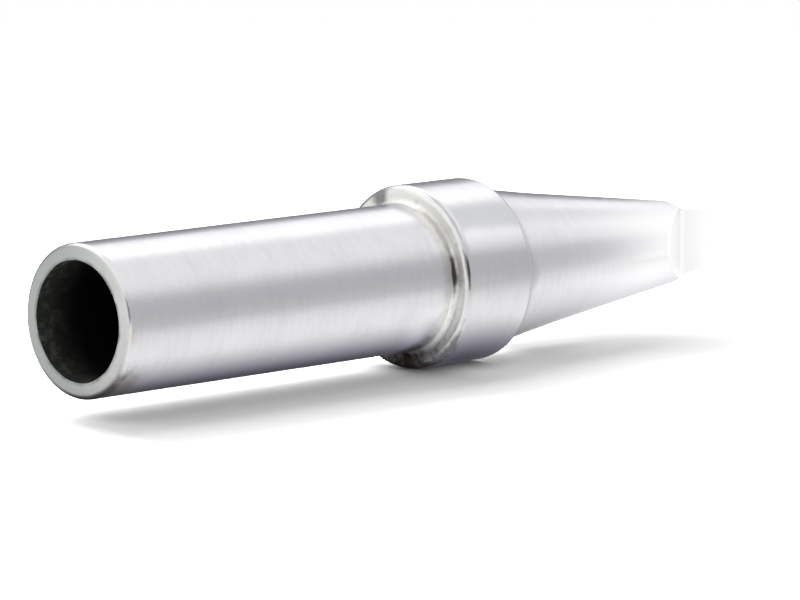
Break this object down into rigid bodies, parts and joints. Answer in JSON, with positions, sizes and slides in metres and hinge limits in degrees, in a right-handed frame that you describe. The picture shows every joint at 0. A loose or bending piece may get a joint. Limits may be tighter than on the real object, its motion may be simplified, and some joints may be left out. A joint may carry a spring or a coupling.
{
  "type": "chisel soldering tip",
  "caption": "Turned, plated soldering tip with a hollow shank, a locating collar and a tapered nose that ends in a chisel blade.",
  "frame": {"origin": "middle of the open mouth, on the flat mouth face that the tip stands on", "axes": "+Z along the tip's axis towards the blade; the blade is wide along X and its ground flats face -Y and +Y"},
  "size_m": [0.008, 0.008, 0.0386],
  "materials": {
    "plated_copper": "satin bright plating, dark and rough inside the bore"
  },
  "bodies": {
    "root": {"soldering_tip": "plated_copper"}
  },
  "joints": []
}
